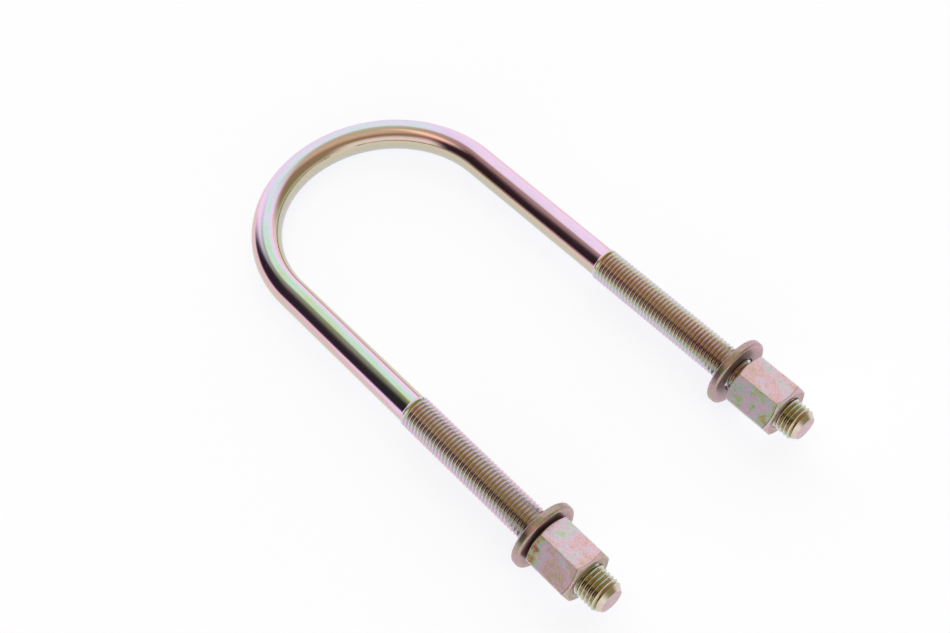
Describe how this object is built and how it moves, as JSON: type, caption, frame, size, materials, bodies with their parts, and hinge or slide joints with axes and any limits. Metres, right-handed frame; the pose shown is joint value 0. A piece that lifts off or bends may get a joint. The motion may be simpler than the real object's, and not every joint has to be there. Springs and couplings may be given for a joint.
{
  "type": "u-bolt",
  "caption": "Long-legged threaded U-bolt of bent round bar with thick flat washers and high hexagon nuts, for clamping a pipe, axle or spring to a bracket.",
  "frame": {"origin": "centre of the bend, on the axis of the clamped pipe, in the plane of the U", "axes": "the U lies flat in the XY plane with the bend towards +Y and both legs along -Y; +Z is the axis of the clamped pipe and points up"},
  "size_m": [0.1498, 0.2767, 0.033],
  "materials": {
    "rod_plating": "bright bar with yellow chromated zinc plating, iridescent gold, pink and green",
    "washer_plating": "tumbled punched plate with yellow chromated zinc plating, satin",
    "nut_plating": "yellow chromated zinc plating, mottled pink and green, satin"
  },
  "bodies": {
    "rod": {"u_rod": "rod_plating"},
    "washer_left": {"washer_left": "washer_plating"},
    "washer_right": {"washer_right": "washer_plating"},
    "nut_left": {"nut_left": "nut_plating"},
    "nut_right": {"nut_right": "nut_plating"}
  },
  "joints": [
    {"name": "washer_left_slide", "type": "slide", "parent": "rod", "child": "washer_left", "axis": [0, 1, 0], "range_m": [-0.032, 0.084]},
    {"name": "nut_left_turn", "type": "hinge", "parent": "washer_left", "child": "nut_left", "pos_m": [-0.05835, -0.1856, 0], "axis": [0, 1, 0], "range_deg": [-5760, 15120]},
    {"name": "washer_right_slide", "type": "slide", "parent": "rod", "child": "washer_right", "axis": [0, 1, 0], "range_m": [-0.03, 0.086]},
    {"name": "nut_right_turn", "type": "hinge", "parent": "washer_right", "child": "nut_right", "pos_m": [0.05835, -0.1881, 0], "axis": [0, 1, 0], "range_deg": [-5400, 15480]}
  ],
  "couplings": [
    {"joint": "washer_left_slide", "follows": "nut_left_turn", "m_per_rad": 0.00031831},
    {"joint": "washer_right_slide", "follows": "nut_right_turn", "m_per_rad": 0.00031831}
  ]
}
